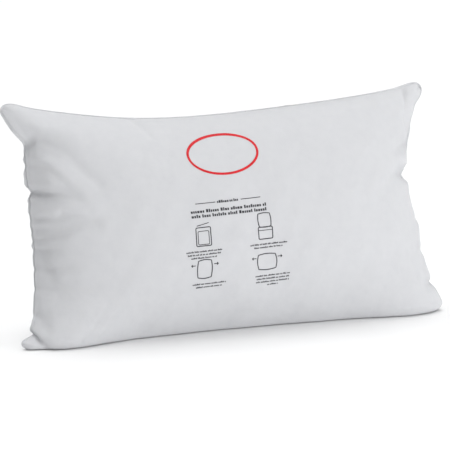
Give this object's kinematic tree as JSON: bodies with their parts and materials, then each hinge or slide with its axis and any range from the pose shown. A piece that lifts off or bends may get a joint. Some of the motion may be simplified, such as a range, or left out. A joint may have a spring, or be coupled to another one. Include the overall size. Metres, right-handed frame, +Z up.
{
  "type": "bed pillow",
  "caption": "Small rectangular bed pillow standing on its long seam: two-panel white fabric shell with pulled-in sides and pointed ears, fibre core, sewn-shut filling slit and a care label.",
  "frame": {"origin": "on the floor under the middle of the whole pillow, as it stands on its bottom long seam", "axes": "+X along the long side, to the right of someone facing the printed front; +Y from front to back; +Z up. The pillow leans back 10 degrees, so its top is towards +Y"},
  "size_m": [0.5004, 0.141, 0.253],
  "materials": {
    "shell_fabric": "matte brushed microfibre",
    "fibre": "loose polyester fibre",
    "thread": "spun polyester",
    "label_fabric": "satin ribbon",
    "ink_red": "red ink printed on the fabric",
    "ink_black": "black ink printed on the fabric"
  },
  "bodies": {
    "pillow": {"front_panel": "shell_fabric", "back_panel": "shell_fabric", "fibre_fill": "fibre", "seam_needle_thread": "thread", "seam_bobbin_thread": "thread", "closing_needle_thread": "thread", "closing_bobbin_thread": "thread"},
    "label": {"care_label": "label_fabric"}
  },
  "joints": [
    {"name": "label_flip", "type": "hinge", "parent": "pillow", "child": "label", "pos_m": [0.105, 0.0258, 0.2359], "axis": [1, 0, 0], "range_deg": [0, 150]}
  ]
}
